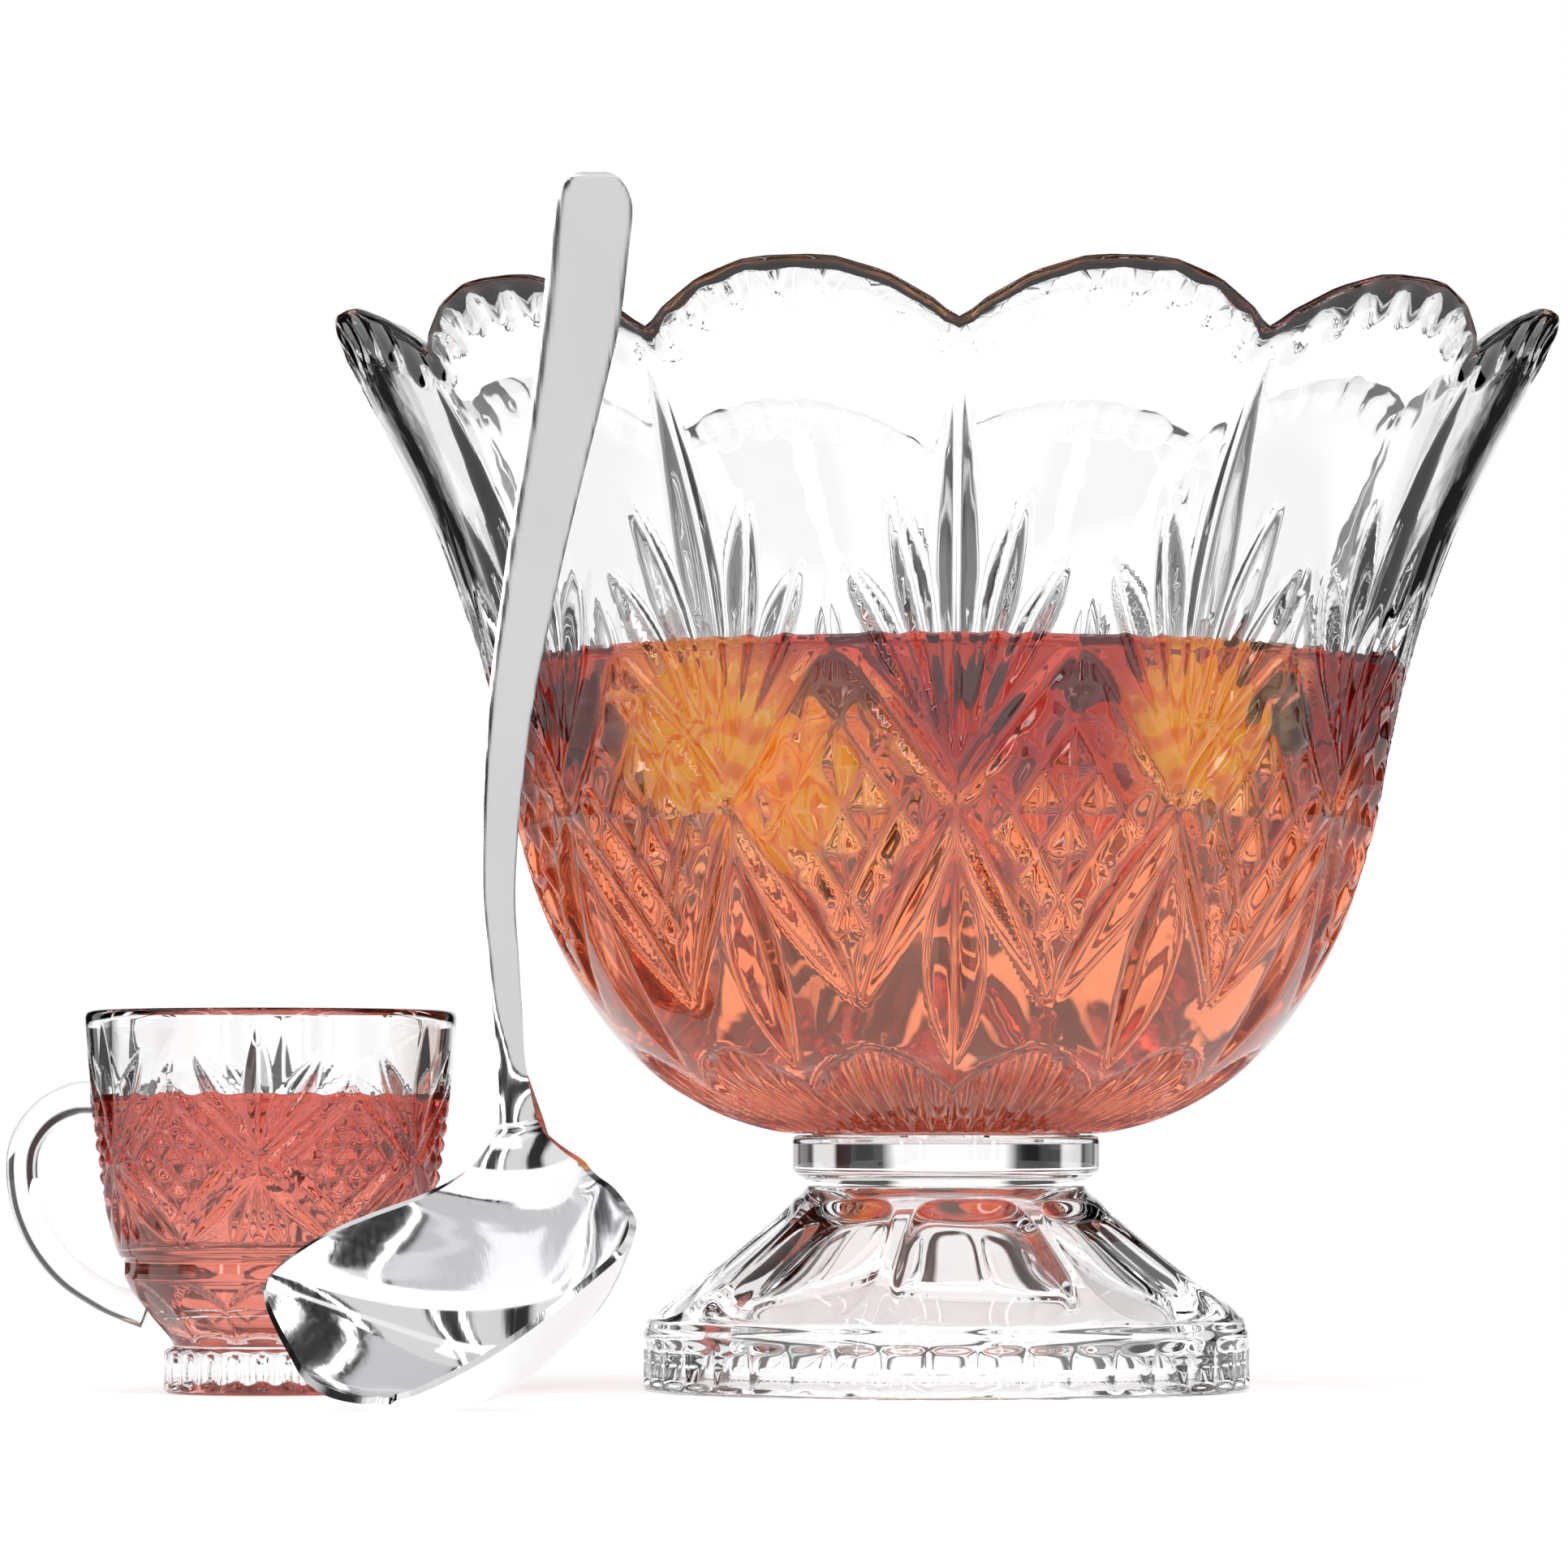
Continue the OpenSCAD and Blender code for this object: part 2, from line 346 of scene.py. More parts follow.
def crystal(name):
    """Pressed crystal: clear, with a very faint waviness and fire-polished roughness."""
    material, tree, shader = node_material(name)
    shader.inputs["Transmission Weight"].default_value = 1.0
    shader.inputs["IOR"].default_value = 1.57
    waves = noise(tree, 60, 2)
    body = ramp(tree, waves.outputs["Fac"], [(0.3, (0.985,) * 3), (0.7, (1.0,) * 3)])
    tree.links.new(body.outputs["Color"], shader.inputs["Base Color"])
    polish = ramp(tree, noise(tree, 25, 3).outputs["Fac"], [(0.35, (0.0,) * 3), (0.8, (0.02,) * 3)])
    tree.links.new(polish.outputs["Color"], shader.inputs["Roughness"])
    bump(tree, shader, waves.outputs["Fac"], 0.06, 0.001)
    return material


def punch_liquid(name, top, bottom, low, high, glow, juicy=()):
    """Punch: clear, tinted where light enters and leaves, deeper in colour near its surface.

    It turns from the bottom colour to the top one between the heights low and high. juicy lists
    points round which the juice of the fruit turns it amber. Heights and points are in millimetres.
    """
    juice = (1.0, 0.52, 0.12, 1)
    juice_near, juice_far = 16 * MM, 32 * MM
    material, tree, shader = node_material(name)
    shader.inputs["Transmission Weight"].default_value = 1.0
    shader.inputs["IOR"].default_value = 1.34
    shader.inputs["Roughness"].default_value = 0.02
    place, _, _, height = place_and_parts(tree, "Object")
    level = map_range(tree, height, low * MM, high * MM)
    cloudy = math_node(tree, "MULTIPLY_ADD", noise(tree, 14, 3).outputs["Fac"], 0.35, level)
    tint = ramp(tree, cloudy, [(0.0, bottom), (0.80, bottom), (0.97, top)]).outputs["Color"]
    for spot in juicy:
        away = vector_measure(tree, "DISTANCE", place, [c * MM for c in spot])
        near = map_range(tree, away, juice_far, juice_near, "SMOOTHSTEP")
        tint = colour_mix(tree, tint, juice, share=near)
    tree.links.new(tint, shader.inputs["Base Color"])
    # Painted glow: the punch gives off light in its own tint, as strong as glow, though it is no lamp.
    tree.links.new(tint, shader.inputs["Emission Color"])
    shader.inputs["Emission Strength"].default_value = glow
    return material


def polished_steel(name):
    """Mirror-polished stainless steel with faint polishing lines along the handle."""
    material, tree, shader = node_material(name)
    shader.inputs["Metallic"].default_value = 1.0
    lines = noise(tree, 900, 2, (1, 1, 0.03))
    greys = [(0.3, (0.80, 0.80, 0.81)), (0.7, (0.86, 0.86, 0.87))]
    tone = ramp(tree, noise(tree, 20, 2).outputs["Fac"], greys)
    tree.links.new(tone.outputs["Color"], shader.inputs["Base Color"])
    shine = ramp(tree, lines.outputs["Fac"], [(0.3, (0.05,) * 3), (0.75, (0.13,) * 3)])
    tree.links.new(shine.outputs["Color"], shader.inputs["Roughness"])
    bump(tree, shader, lines.outputs["Fac"], 0.05, 0.0002)
    return material


def fruit_flesh(name, flesh, juice, rind, pith, radius):
    """A citrus slice: wedges of flesh round the middle, pith, then rind, with a painted glow in the same
    colours. radius is in millimetres.
    """
    wedges = 9.0
    material, tree, shader = node_material(name)
    place, x, y, _ = place_and_parts(tree, "Object")
    share = math_node(tree, "DIVIDE", vector_measure(tree, "LENGTH", place), radius * MM)
    ring_stops = [(0.08, pith), (0.14, flesh), (0.84, flesh), (0.88, pith), (0.93, rind)]
    rings = ramp(tree, share, ring_stops).outputs["Color"]
    turn = math_node(tree, "ARCTAN2", y, x)
    wave = math_node(tree, "SINE", math_node(tree, "MULTIPLY", turn, wedges))
    skin_stops = [(0.0, pith), (0.10, pith), (0.2, flesh), (1.0, juice)]
    skins = ramp(tree, wave, skin_stops).outputs["Color"]
    colour = colour_mix(tree, rings, skins, "MULTIPLY", 0.9)
    tree.links.new(colour, shader.inputs["Base Color"])
    # Painted glow: the slice gives off light in its own colours, standing in for light shining through the
    # flesh.
    tree.links.new(colour, shader.inputs["Emission Color"])
    shader.inputs["Emission Strength"].default_value = 0.3
    shader.inputs["Roughness"].default_value = 0.35
    bump(tree, shader, noise(tree, 700, 2).outputs["Fac"], 0.4, 0.0005)
    return material


def berry_skin(name, dark, light):
    """The mottled, slightly rough skin of a berry."""
    material, tree, shader = node_material(name)
    tone = ramp(tree, noise(tree, 120, 3).outputs["Fac"], [(0.3, dark), (0.75, light)])
    tree.links.new(tone.outputs["Color"], shader.inputs["Base Color"])
    shader.inputs["Roughness"].default_value = 0.3
    bump(tree, shader, noise(tree, 400, 2).outputs["Fac"], 0.3, 0.0004)
    return material


def floor_material(name):
    """White paper with a little light of its own, as if lit from below."""
    material, tree, shader = node_material(name)
    tone = ramp(tree, noise(tree, 3, 2).outputs["Fac"], [(0.3, (0.93,) * 3), (0.7, (0.96,) * 3)])
    tree.links.new(tone.outputs["Color"], shader.inputs["Base Color"])
    shader.inputs["Roughness"].default_value = 0.9
    shader.inputs["Emission Color"].default_value = (1, 1, 1, 1)
    shader.inputs["Emission Strength"].default_value = 0.52
    return material


CRYSTAL = crystal("crystal")
STEEL = polished_steel("polished_steel")


# ---------------------------------------------------------------- punch bowl

BOWL_REPEATS = 12
BOWL_STEP = 360 / BOWL_REPEATS
RIM_R, RIM_Z = 147.0, 251.5
WAIST_R, WAIST_Z = 103.8, 144.0
SEAT_R, SEAT_Z = 36.3, 60.3
LOWER = [(SEAT_R, SEAT_Z), (76.5, 66), (96, 102), (WAIST_R, WAIST_Z)]
UPPER = [(WAIST_R, WAIST_Z), (111.7, 187.5), (124.5, 213), (RIM_R, RIM_Z)]
SCALLOP_R = 58.0
VALLEY_Z = 237.6
FACETS = 7
STRETCH_Z = 214.0
FLOOR_Z = 76.0
WALL = 5.5
LIQUID_Z = 171.0


def bowl_wall_line():
    """The outside of the bowl (radius, height), from its seat on the stand to the rim."""
    return joined(curve(LOWER, np.linspace(0, 1, 60)), curve(UPPER, np.linspace(0, 1, 60)))


def bowl_inside_line(rows=34, wall=WALL):
    """The inside of the bowl (radius, height) from the rim down to near the axis."""
    line = bowl_wall_line()
    inner = line - outward(line) * wall
    inner = inner[inner[:, 1] > FLOOR_Z][::-1]
    inner = inner[inner[:, 1] < RIM_Z]
    floor = curve([inner[-1], (inner[-1][0] - 8, 70.5), (34, 68.6), (4, 68.3)], np.linspace(0, 1, 16))
    return resampled(joined(inner, floor), rows)


def scallop_height(phi):
    """Height of the rim at an angle (degrees) from the nearest valley: straight facets on an arc."""
    soft = 0.8
    from_middle = BOWL_STEP / 2 - np.abs(phi)
    facet = BOWL_STEP / FACETS
    knots = np.arange(0, 5) * facet
    x = RIM_R * np.sin(np.radians(knots))
    z = RIM_Z - SCALLOP_R + np.sqrt(SCALLOP_R**2 - np.minimum(x, SCALLOP_R - 1) ** 2)
    shape = np.interp(np.maximum(from_middle, facet / 2), knots, z)
    return VALLEY_Z + np.log1p(np.exp((shape - VALLEY_Z) / soft)) * soft


def stretched(z, rim, top):
    """Heights above STRETCH_Z moved in proportion, so that the rim comes to the top."""
    return np.where(z > STRETCH_Z, STRETCH_Z + (z - STRETCH_Z) * (top - STRETCH_Z) / (rim - STRETCH_Z), z)


def bowl_pattern(cut):
    """The wheel cuts of one fan, centred on a valley, and of the diamond panels beside it."""
    cross_z, panel_top, panel_low, origin = 133.2, 170.3, 89.1, 142.9
    panel = BOWL_STEP / 2
    cut.leaf((0, origin), (0, 232.2), 10.0, 3.5, belly=0.42, tip=0.9, root=0.2)
    cut.leaf((0.8, origin), (7.4, 203.0), 7.6, 3.0, belly=0.55, mirror=True)
    cut.leaf((1.6, origin), (12.6, 187.7), 6.4, 2.6, belly=0.62, mirror=True)
    for k in (2.3, 4.6):
        cut.leaf((0.3 * k, origin - 2), (k, 174), 3.0, 0.9, belly=0.6, mirror=True)
    cut.leaf((-panel, panel_low), (0, cross_z), 9.0, 3.3, belly=0.55, tip=0.7, mirror=True)
    cut.leaf((0, cross_z), (panel, panel_top), 8.0, 3.0, belly=0.4, tip=0.7, mirror=True)
    cut.lattice(panel, panel_low + 2, panel_top + 2, (0.25, 0.5, 0.75), 10.0, 3.2, tip=0.35)
    cut.leaf((0, 121.5), (0, 75.6), 12.5, 3.9, belly=0.5, tip=0.8, root=0.2)
    cut.leaf((panel, 160), (panel, 181), 4.6, 1.3, belly=0.4)


def rim_prints(cut):
    """A row of thumbprints just below the rim, one on every facet of a scallop."""
    for k in range(FACETS):
        at = BOWL_STEP / FACETS * (k + 0.5)
        rim_here = float(scallop_height(min(at, BOWL_STEP - at)))
        cut.dimple((at, rim_here - 6.2), 5.4, 0.9)


def petals(phi, radius, z):
    """Depth of the ribbed, pointed petals round the bottom of the bowl, and of their outline."""
    ribs = 5
    from_peak = BOWL_STEP / 2 - np.abs(phi)
    arch = 78.5 - 10.5 * (from_peak / (BOWL_STEP / 2)) ** 1.6
    in_petal = smoothstep(arch - z, -0.3, 0.9)
    rib_phase = (from_peak / (BOWL_STEP / 2)) * ribs * math.pi / 2
    rib = 1.5 * np.abs(np.cos(rib_phase)) ** 0.7
    fade = smoothstep(radius, SEAT_R + 0.5, SEAT_R + 8)
    edge = 0.9 * np.exp(-(((z - arch) / 0.9) ** 2)) * (radius > SEAT_R + 6)
    return in_petal * rib * fade * 1.3 + edge


def bowl_outside(columns):
    """Grid of the outer face, from the foot up to the scalloped rim, with its cuts pressed in."""
    foot = [(4, 58.7), (27, 58.7), (28, 58.1), (31, 58.1), (31.4, 58.5), (31.4, 60.0), (31.8, 60.3)]
    rim_below = 1.4
    wall = bowl_wall_line()
    profile = joined(foot, resampled(wall, 136))
    angle = column_angles(columns)
    turn = np.degrees(angle) * np.ones((len(profile), 1))
    phi = repeat_angle(turn, BOWL_STEP)
    z = stretched(profile[:, 1:2], RIM_Z, scallop_height(phi) - rim_below)
    radius = np.where(z > SEAT_Z + 0.5, np.interp(z, wall[:, 1], wall[:, 0]), profile[:, :1])
    cut = Cutter(np.radians(turn), radius, z, BOWL_REPEATS)
    bowl_pattern(cut)
    rim_prints(cut)
    depth = np.where(z > SEAT_Z + 0.2, np.maximum(cut.depth, petals(phi, radius, z)), 0)
    across, up = (np.interp(z, wall[:, 1], part) for part in outward(wall).T)
    return turned(radius - depth * across, z - depth * up, angle)


def bowl_inside(columns):
    """Rows of points over the rounded lip and down the inside of the bowl."""
    # How much of the wall's thickness is crossed, and how far below the rim's top.
    lip = ((0.12, 0.56), (0.3, 0.08), (0.5, 0.0), (0.7, 0.16), (0.88, 0.8))
    rim_below = 1.6
    angle = column_angles(columns)
    top = scallop_height(repeat_angle(np.degrees(angle), BOWL_STEP))
    wall = bowl_wall_line()
    radius_top = np.interp(top, wall[:, 1], wall[:, 0])
    across = np.interp(top, wall[:, 1], outward(wall)[:, 0])
    rows = [turned(radius_top - across * WALL * share, top - drop, angle) for share, drop in lip]
    inside = bowl_inside_line()
    for radius, height in inside:
        z = stretched(height, inside[0][1], top - rim_below)
        if height > FLOOR_Z:
            radius = np.interp(z, inside[::-1, 1], inside[::-1, 0])
        rows.append(turned(radius, z, angle))
    return np.array(rows)


def make_bowl():
    """The cut-crystal bowl."""
    columns, ratio = 600, 2
    verts, faces = lathe(bowl_outside(columns), bowl_inside(columns // ratio), columns, ratio)
    bowl = new_object("bowl_glass", verts, faces, "bowl", CRYSTAL)
    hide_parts("punch_bowl")


def make_bowl_punch():
    """The punch in the bowl: it creeps a little up the glass and reaches just into its wall."""
    material = punch_liquid(
        "punch",
        top=(0.36, 0.014, 0.010),
        bottom=(1.0, 0.28, 0.11),
        low=60,
        high=LIQUID_Z,
        glow=0.03,
        juicy=[(-52, -74, 152), (-30, -84, 142), (56, -74, 154), (40, 60, 156), (-60, 50, 158)],
    )
    columns, overlap, creep = 192, 0.15, 0.6
    inside = bowl_inside_line(60, WALL - overlap)
    below = inside[inside[:, 1] < LIQUID_Z - 0.4][::-1]
    edge_r = float(np.interp(LIQUID_Z, inside[::-1, 1], inside[::-1, 0]))
    side = np.vstack([below, [edge_r, LIQUID_Z + creep]])
    side[:, 1] -= np.where(side[:, 1] < 80, 0.12, 0)
    level = [(radius, LIQUID_Z) for radius in (edge_r - 2, edge_r * 0.66, edge_r * 0.33, 3)]
    surface = np.array([(edge_r - 0.6, LIQUID_Z + 0.2), *level])
    verts, faces = lathe(spun(side, columns), spun(surface, columns), columns, 1)
    new_object("bowl_punch", verts, faces, "bowl", material)


# ---------------------------------------------------------------- pedestal stand

PANEL_STEP = 360 / 8
PANEL_TURN = 7.0
PANEL_Z = 31.0
PANEL_REACH = 14.0
FLUTE_STEP = 360 / 40


def stand_profile():
    """The outside of the stand (radius, height): its edge, flare, neck, collar and seat."""
    flare = [
        (70.9, 14.6), (70.2, 17.0), (66.4, 21.2), (60.2, 25.4),
        (50.4, 32.8), (40.9, 40.5), (36.4, 44.4), (33.4, 46.9),
    ]
    collar = [
        (33.8, 50.0), (35.2, 50.6), (36.0, 51.8), (36.3, 53.4),
        (36.3, 58.6), (36.0, 59.5), (35.2, 60.0),
    ]
    return joined(
        [(62.5, 0.0), (70.6, 0.0), (71.2, 0.4), (71.4, 1.0)],
        resampled(np.array([(71.4, 1.0), (71.4, 13.0)]), 14),
        [(71.4, 13.0), (71.2, 13.8), (70.9, 14.6)],
        smooth_line(flare, 64),
        [(33.4, 46.9), (32.8, 47.6), (32.8, 48.2), (33.3, 48.6), (33.2, 49.3), (33.8, 50.0)],
        smooth_line(collar, 16),
        [(35.2, 60.0), (32.0, 60.0), (31.7, 59.7), (31.7, 57.8), (31.2, 57.7), (4, 57.7)],
    )


def stand_depth(turn, radius, z):
    """Depth of the flat panels with rounded ends on the flare and of the flutes round the edge."""
    half = 0.96 * PANEL_STEP / 2
    phi = np.abs(repeat_angle(turn - PANEL_TURN, PANEL_STEP))
    along = np.abs(z - PANEL_Z) / PANEL_REACH
    inside_panel = 1 - along**3 - (phi / half) ** 6
    facet = radius * (1 / np.cos(np.radians(half)) - 1 / np.cos(np.radians(np.minimum(phi, half))))
    panels = smoothstep(inside_panel, 0.0, 0.6) * facet
    edge = smoothstep(z, 1.6, 2.6) * (1 - smoothstep(z, 10.2, 11.8))
    flute = 0.7 * np.cos(np.radians(repeat_angle(turn, FLUTE_STEP)) * np.pi / np.radians(FLUTE_STEP)) ** 0.6
    return panels + edge * flute


def make_stand():
    """The pedestal stand, hollow from below."""
    columns, ratio = 480, 2
    profile = stand_profile()
    depth = stand_depth(np.degrees(column_angles(columns)), profile[:, :1], profile[:, 1:2])
    outer = pressed(profile, depth, columns)
    hollow = [
        (61.8, 0.3), (61.0, 6.0), (58.5, 13), (53.5, 21), (43.0, 30),
        (32.0, 39), (22.0, 45.2), (10, 47.6), (3, 47.8),
    ]
    inner = spun(smooth_line(hollow, 36), columns // ratio)
    verts, faces = lathe(outer[::-1], inner, columns, ratio)
    faces = [tuple(reversed(face)) for face in faces]
    stand = new_object("stand_glass", verts, faces, "stand", CRYSTAL)
    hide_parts("pedestal_stand")


# ---------------------------------------------------------------- cup

CUP_AT = (-158.0, -20.0, 0.0)
CUP_LIQUID_Z = 69.0
CUP_WALL = 3.3
CUP_REPEATS = 6
CUP_STEP = 360 / CUP_REPEATS


def cup_wall_line():
    """The outside of the cup's wall (radius, height)."""
    wall = [(33.8, 31.4), (35.3, 32.4), (37.6, 40), (39.6, 50), (41.2, 62), (42.4, 76), (43.3, 87.2)]
    return smooth_line(wall, 70)


def cup_inside_line(rows=44, wall=CUP_WALL):
    """The inside of the cup (radius, height), over its lip and down to near the axis."""
    line = cup_wall_line()
    inner = (line - outward(line) * wall)[::-1]
    inner = inner[inner[:, 1] > 34]
    lip = smooth_line([(43.1, 88.1), (42.3, 88.8), (41.2, 88.7), (40.4, 87.8), inner[1]], 8)
    floor = curve([inner[-1], (29, 22), (22, 15.8), (3, 15.6)], np.linspace(0, 1, 20))
    return joined(lip, resampled(joined(inner[1:], floor), rows))


def cup_profile():
    """The outside of the cup (radius, height): its foot, the belly above it and its wall."""
    foot = [(23.4, 0.0), (24.4, 0.8), (24.7, 2.4), (24.7, 8.4), (24.2, 10.0), (22.4, 10.9)]
    belly = [
        (22.4, 10.9), (23.4, 12.8), (27.6, 17.6), (31.2, 22.4),
        (33.2, 25.8), (33.8, 27.0), (33.8, 31.4),
    ]
    return joined(
        [(4, 2.4), (17.5, 2.4), (19.5, 0.2), (20.5, 0.0), (23.4, 0.0)],
        smooth_line(foot, 14),
        smooth_line(belly, 26),
        cup_wall_line(),
    )


def cup_pattern(cut):
    """The wheel cuts of one fan of the cup and of the diamond panels beside it."""
    cross_z, panel_top, panel_low = 53.0, 73.0, 34.0
    panel = CUP_STEP / 2
    cut.leaf((0, cross_z + 4), (0, 86.0), 6.2, 2.0, belly=0.42)
    cut.leaf((1.5, cross_z + 3), (20.5, 79.0), 5.0, 1.8, belly=0.55, mirror=True)
    cut.leaf((1.0, cross_z + 3), (9.5, 71.0), 3.4, 1.2, belly=0.6, mirror=True)
    cut.leaf((-panel, panel_low), (0, cross_z), 5.0, 1.8, belly=0.5, tip=0.6, mirror=True)
    cut.leaf((0, cross_z), (panel, panel_top), 5.0, 1.8, belly=0.45, tip=0.6, mirror=True)
    cut.lattice(panel, panel_low, panel_top, (0.2, 0.4, 0.6, 0.8), 4.8, 1.9, tip=0.4)
    cut.leaf((0, cross_z - 4), (0, 34.0), 4.6, 1.6, belly=0.6)
    cut.leaf((1.5, cross_z - 4), (9.0, 34.5), 4.2, 1.5, belly=0.6, mirror=True)


def cup_foot_depth(turn, radius, z):
    """Depth of the arches above the foot and of the ribs round it."""
    arch_step, ribs = 30.0, 24
    phi = repeat_angle(turn, arch_step)
    top = 25.5 - 6.0 * (np.abs(phi) / (arch_step / 2)) ** 1.5
    scoop = np.cos(np.radians(phi) * 90 / (arch_step / 2)) ** 0.5
    arches = smoothstep(top - z, -0.3, 0.8) * smoothstep(z, 12, 14) * scoop
    from_middle = turn * ribs / 360 % 1 - 0.5
    on_foot = smoothstep(z, 0.8, 2.0) * (1 - smoothstep(z, 8.6, 10.6)) * (radius > 23.5)
    return np.nan_to_num(arches) + on_foot * 1.5 * (2 * np.abs(from_middle)) ** 2


def make_cup():
    """The cut-crystal cup without its handle."""
    columns, ratio, plain_below = 720, 3, 32.8
    profile = cup_profile()
    angle = column_angles(columns) * np.ones((len(profile), 1))
    radius, z = (part[:, None] * np.ones((1, columns)) for part in profile.T)
    cut = Cutter(angle, radius, z, CUP_REPEATS, root=0.25, lip=0.12)
    cup_pattern(cut)
    depth = np.where(z > plain_below, cut.depth, 0) + cup_foot_depth(np.degrees(angle), radius, z)
    outer = pressed(profile, depth, columns)
    inner = spun(cup_inside_line(), columns // ratio)
    verts, faces = lathe(outer, inner, columns, ratio, CUP_AT)
    cup = new_object("cup_glass", verts, faces, "cup", CRYSTAL)
    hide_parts("cup_body")


def make_cup_punch():
    """The punch in the cup: it creeps a little up the glass and reaches just into its wall."""
    material = punch_liquid(
        "cup_punch_liquid",
        top=(0.64, 0.10, 0.07),
        bottom=(0.84, 0.22, 0.15),
        low=0,
        high=CUP_LIQUID_Z,
        glow=0.015,
    )
    columns, overlap, creep = 144, 0.1, 0.5
    inside = cup_inside_line(60, CUP_WALL - overlap)
    below = inside[inside[:, 1] < CUP_LIQUID_Z - 0.3][::-1]
    edge_r = float(np.interp(CUP_LIQUID_Z, inside[::-1, 1], inside[::-1, 0]))
    side = np.vstack([below, [edge_r, CUP_LIQUID_Z + creep]])
    side[:, 1] -= np.where(side[:, 1] < 18, 0.1, 0)
    level = [(radius, CUP_LIQUID_Z) for radius in (edge_r - 1.6, edge_r * 0.5, 2)]
    surface = np.array([(edge_r - 0.5, CUP_LIQUID_Z + 0.15), *level])
    verts, faces = lathe(spun(side, columns), spun(surface, columns), columns, 1, CUP_AT)
    new_object("cup_punch", verts, faces, "cup", material)


def make_cup_handle():
    """The cup's ear: an oval bar swept along a line in the cup's middle plane."""
    line = [
        (-38.2, 68.9), (-41.5, 68.9), (-46.0, 68.4), (-51.5, 65.6), (-55.4, 61.4),
        (-57.6, 56.4), (-57.9, 50.0), (-56.4, 42.4), (-52.6, 34.6), (-46.6, 27.8),
        (-38.6, 22.6), (-33.0, 20.2), (-28.6, 18.6),
    ]
    path = smooth_line(line, 72)
    side = outward(path)
    share = np.linspace(0, 1, len(path))
    knots = [0, 0.08, 0.2, 0.5, 0.8, 0.92, 1]
    half_thick = np.interp(share, knots, [4.4, 3.9, 3.7, 3.6, 3.6, 3.8, 3.9])
    half_wide = np.interp(share, knots, [5.2, 4.6, 4.2, 4.0, 4.2, 4.6, 5.0])
    ring = column_angles(32)
    rows, columns = len(path), len(ring)
    points = []
    for middle, out, thick, wide in zip(path, side, half_thick, half_wide):
        x = middle[0] + out[0] * thick * np.cos(ring)
        z = middle[1] + out[1] * thick * np.cos(ring)
        points.append(np.stack([x, wide * np.sin(ring), z], 1))
    verts = np.array(points).reshape(-1, 3) + np.array(CUP_AT)
    faces = [tuple(reversed(range(columns))), tuple(range((rows - 1) * columns, rows * columns))]
    for a in range(0, (rows - 1) * columns, columns):
        for c in range(columns):
            d = (c + 1) % columns
            faces.append((a + c, a + d, a + columns + d, a + columns + c))
    handle = new_object("cup_handle_glass", verts, faces, "cup", CRYSTAL)
    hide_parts("cup_handle")


# ---------------------------------------------------------------- ladle

LADLE_AT = np.array([-110.4, -150.0, 34.4])
# Down the handle: height, place across, place in depth, half width.
HANDLE_ROWS = [
    (269.9, -79.7, -131.6, 2.4), (268.6, -79.8, -131.6, 5.2), (265.6, -79.9, -131.6, 7.5),
    (261, -80.0, -131.7, 8.5), (250, -81.2, -131.8, 8.6), (237, -82.6, -132.0, 8.4),
    (222, -85.2, -132.4, 7.7), (206, -88.3, -133, 6.9), (182, -92.9, -134.6, 5.9),
    (148, -98.2, -135.9, 4.6), (116, -100.2, -135.8, 3.6), (98, -99.1, -135.0, 3.2),
    (86, -98.0, -135.4, 2.9), (75, -97.0, -136.6, 2.8),
]
# Along the bowl: distance back from the lips, place of the middle, half width, depth.
SCOOP_ROWS = [
    (32, 12.0, 4.6, 0.5), (27, 13.0, 6.6, 0.9), (22.5, 14.0, 10.5, 2.0), (18.5, 13.6, 16.0, 4.6),
    (15.5, 10.8, 21.5, 8.5), (13, 6.5, 28.5, 13.0), (10, 3.2, 35.5, 18.0), (5, 0.7, 42.3, 24.0),
    (0, 0.0, 46.0, 27.5), (-6, 0.1, 44.6, 30.0), (-13, -1.6, 38.6, 29.5), (-20, -3.6, 31.6, 26.5),
    (-26.5, -6.0, 24.2, 19.5), (-31.5, -7.8, 15.5, 11.0), (-34.5, -8.0, 7.0, 4.5),
    (-35.2, -8.0, 2.0, 1.0),
]


def ladle_frame():
    """Directions of the ladle bowl: across from lip to lip, back towards the handle, up out of it."""
    yaw, roll, tilt = (math.radians(a) for a in (-28, -8, 58))
    turn = Matrix.Rotation(yaw, 3, "Z") @ Matrix.Rotation(roll, 3, "Y") @ Matrix.Rotation(tilt, 3, "X")
    return [np.array(turn @ Vector(v)) for v in ((1, 0, 0), (0, 1, 0), (0, 0, 1))]


def leaning(behind, across, up):
    """Directions across and out of the sheet, behind mm back from the lips.

    They are those of the flat handle far back and ease into the bowl's own, across and up.
    """
    share = float(smoothstep(-float(behind), -60.0, -13.0))
    wide = np.array([1.0, 0.0, 0.0]) * (1 - share) + across * share
    out = np.array([0.0, -1.0, 0.0]) * (1 - share) + up * share
    wide /= np.linalg.norm(wide)
    out -= wide * np.dot(wide, out)
    out /= np.linalg.norm(out)
    return wide, out


def ladle_stations():
    """Rows of middle, direction across, direction out, half width and depth, from the top down."""
    neck_z, handle_curl = 31.0, -0.08
    across, back, up = ladle_frame()
    rows = []
    for z, x, y, half_wide in HANDLE_ROWS:
        wide, out = leaning(z - neck_z, across, up)
        rows.append(np.hstack([(x, y, z), wide, out, half_wide, handle_curl * half_wide]))
    for behind, shift, half_wide, depth in SCOOP_ROWS:
        middle = LADLE_AT + back * behind + across * shift
        wide, out = leaning(behind, across, up)
        rows.append(np.hstack([middle, wide, out, half_wide, depth]))
    return np.array(rows)


